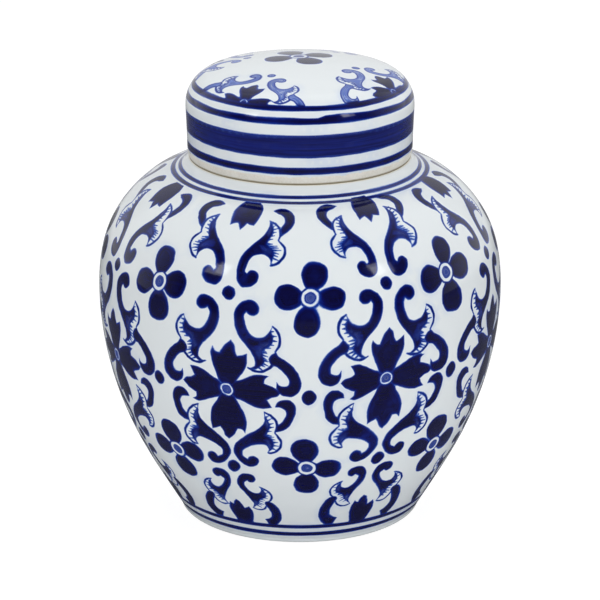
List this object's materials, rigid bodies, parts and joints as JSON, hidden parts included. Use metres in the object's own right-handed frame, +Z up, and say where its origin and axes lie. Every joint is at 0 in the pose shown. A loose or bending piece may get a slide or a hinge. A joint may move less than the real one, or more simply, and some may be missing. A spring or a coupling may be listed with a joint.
{
  "type": "ginger jar",
  "caption": "Round-bellied glazed porcelain jar with a short neck and a loose domed lid, painted in cobalt blue with flowers, scrolling leaves and ring bands.",
  "frame": {"origin": "centre of the foot ring, on the surface that the jar stands on", "axes": "+Z up along the axis that the jar was turned about; the painting's front faces -Y"},
  "size_m": [0.1746, 0.1746, 0.2],
  "materials": {
    "body_porcelain": "clear gloss glaze over white porcelain with cobalt blue underglaze painting, unglazed foot ring",
    "lid_porcelain": "clear gloss glaze over white porcelain with cobalt blue underglaze painting, unglazed cream rim"
  },
  "bodies": {
    "jar": {"jar_body": "body_porcelain"},
    "cap": {"lid": "lid_porcelain"}
  },
  "joints": [
    {"name": "lid_lift", "type": "slide", "parent": "jar", "child": "cap", "axis": [0, 0, 1], "range_m": [0, 0.12]}
  ]
}
